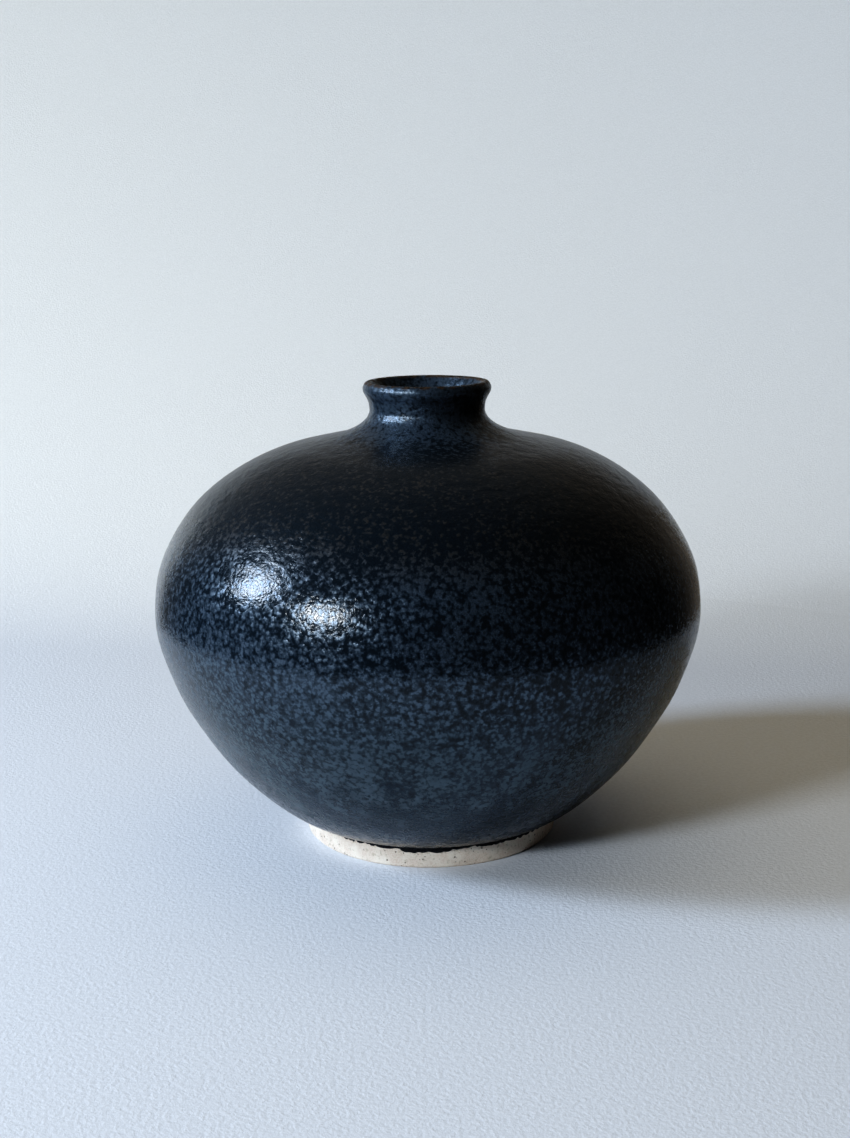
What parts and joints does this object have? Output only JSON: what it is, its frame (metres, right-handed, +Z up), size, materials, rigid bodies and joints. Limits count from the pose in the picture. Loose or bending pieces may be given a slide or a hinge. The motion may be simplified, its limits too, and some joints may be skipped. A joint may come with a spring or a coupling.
{
  "type": "bottle vase",
  "caption": "Squat round-bellied bottle vase with a short flared neck, mottled blue-black glaze outside and in, and a bare pale stoneware foot ring.",
  "frame": {"origin": "centre of the foot ring's resting face, level with the surface that the pot stands on", "axes": "+Z up along the axis the pot is turned about; the clay is round, so X and Y are equal, and -Y is the side that the picture shows"},
  "size_m": [0.17, 0.17, 0.1426],
  "materials": {
    "bare_stoneware": "matte",
    "fired_slip": "matte",
    "outer_glaze": "gloss",
    "inner_glaze": "gloss"
  },
  "bodies": {
    "root": {"foot_ring": "bare_stoneware", "lower_bowl": "bare_stoneware", "upper_bowl": "bare_stoneware", "neck_collar": "bare_stoneware", "foot_slip_joint": "fired_slip", "belly_slip_joint": "fired_slip", "neck_slip_joint": "fired_slip", "outer_glaze": "outer_glaze", "inner_glaze": "inner_glaze"}
  },
  "joints": []
}
